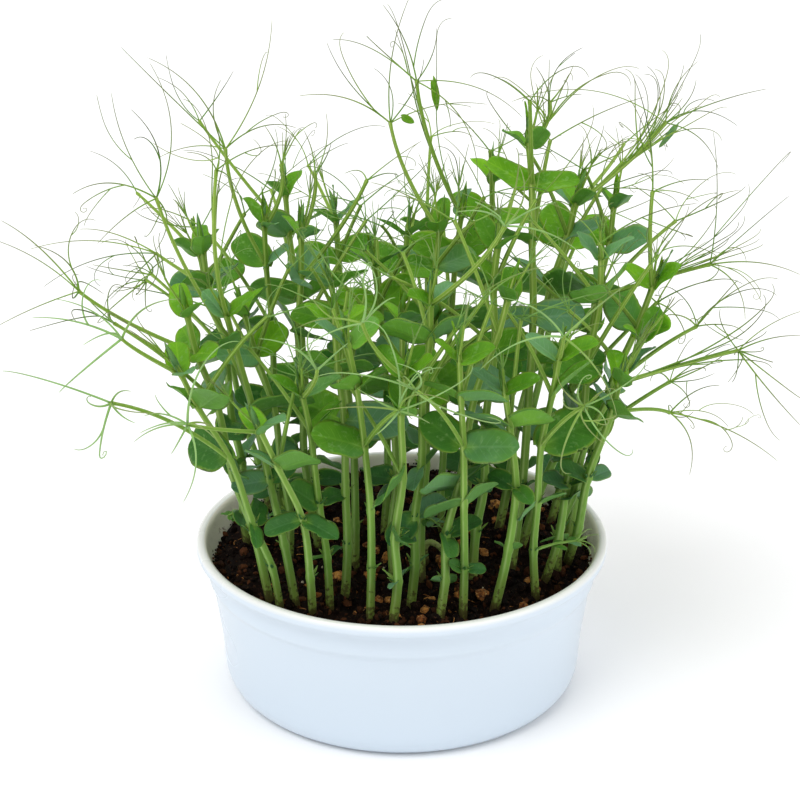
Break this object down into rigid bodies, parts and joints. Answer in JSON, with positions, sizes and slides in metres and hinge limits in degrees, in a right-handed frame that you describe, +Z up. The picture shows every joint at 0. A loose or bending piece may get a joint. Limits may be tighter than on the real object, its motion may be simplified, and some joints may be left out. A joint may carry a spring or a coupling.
{
  "type": "pea shoot microgreens dish",
  "caption": "Round white lipped dish of potting soil with a dense stand of leafy, curling-tendrilled pea shoots.",
  "frame": {"origin": "centre of the flat face that the dish stands on", "axes": "+Z up along the dish's axis, -Y towards the viewer, +X to the viewer's right"},
  "size_m": [0.279, 0.2552, 0.249],
  "materials": {
    "dish": "smooth glossy white",
    "soil": "coarse crumbly matte",
    "shoots": "waxy satin green",
    "seedling": "waxy satin pale green"
  },
  "bodies": {
    "root": {"dish": "dish", "soil": "soil", "shoot_01": "shoots", "shoot_02": "shoots", "shoot_03": "shoots", "shoot_04": "shoots", "shoot_05": "shoots", "shoot_06": "shoots", "shoot_07": "shoots", "shoot_08": "shoots", "shoot_09": "shoots", "shoot_10": "shoots", "shoot_11": "shoots", "shoot_12": "shoots", "shoot_13": "shoots", "shoot_14": "shoots", "shoot_15": "shoots", "shoot_16": "shoots", "shoot_17": "shoots", "shoot_18": "shoots", "shoot_19": "shoots", "shoot_20": "shoots", "shoot_21": "shoots", "shoot_22": "shoots", "shoot_23": "shoots", "shoot_24": "shoots", "shoot_25": "shoots", "shoot_26": "shoots", "shoot_27": "shoots", "shoot_28": "shoots", "shoot_29": "shoots", "shoot_30": "shoots", "shoot_31": "shoots", "shoot_32": "shoots", "shoot_33": "shoots", "shoot_34": "shoots", "shoot_35": "shoots", "shoot_36": "shoots", "shoot_37": "shoots", "shoot_38": "shoots", "late_seedling": "seedling"}
  },
  "joints": []
}
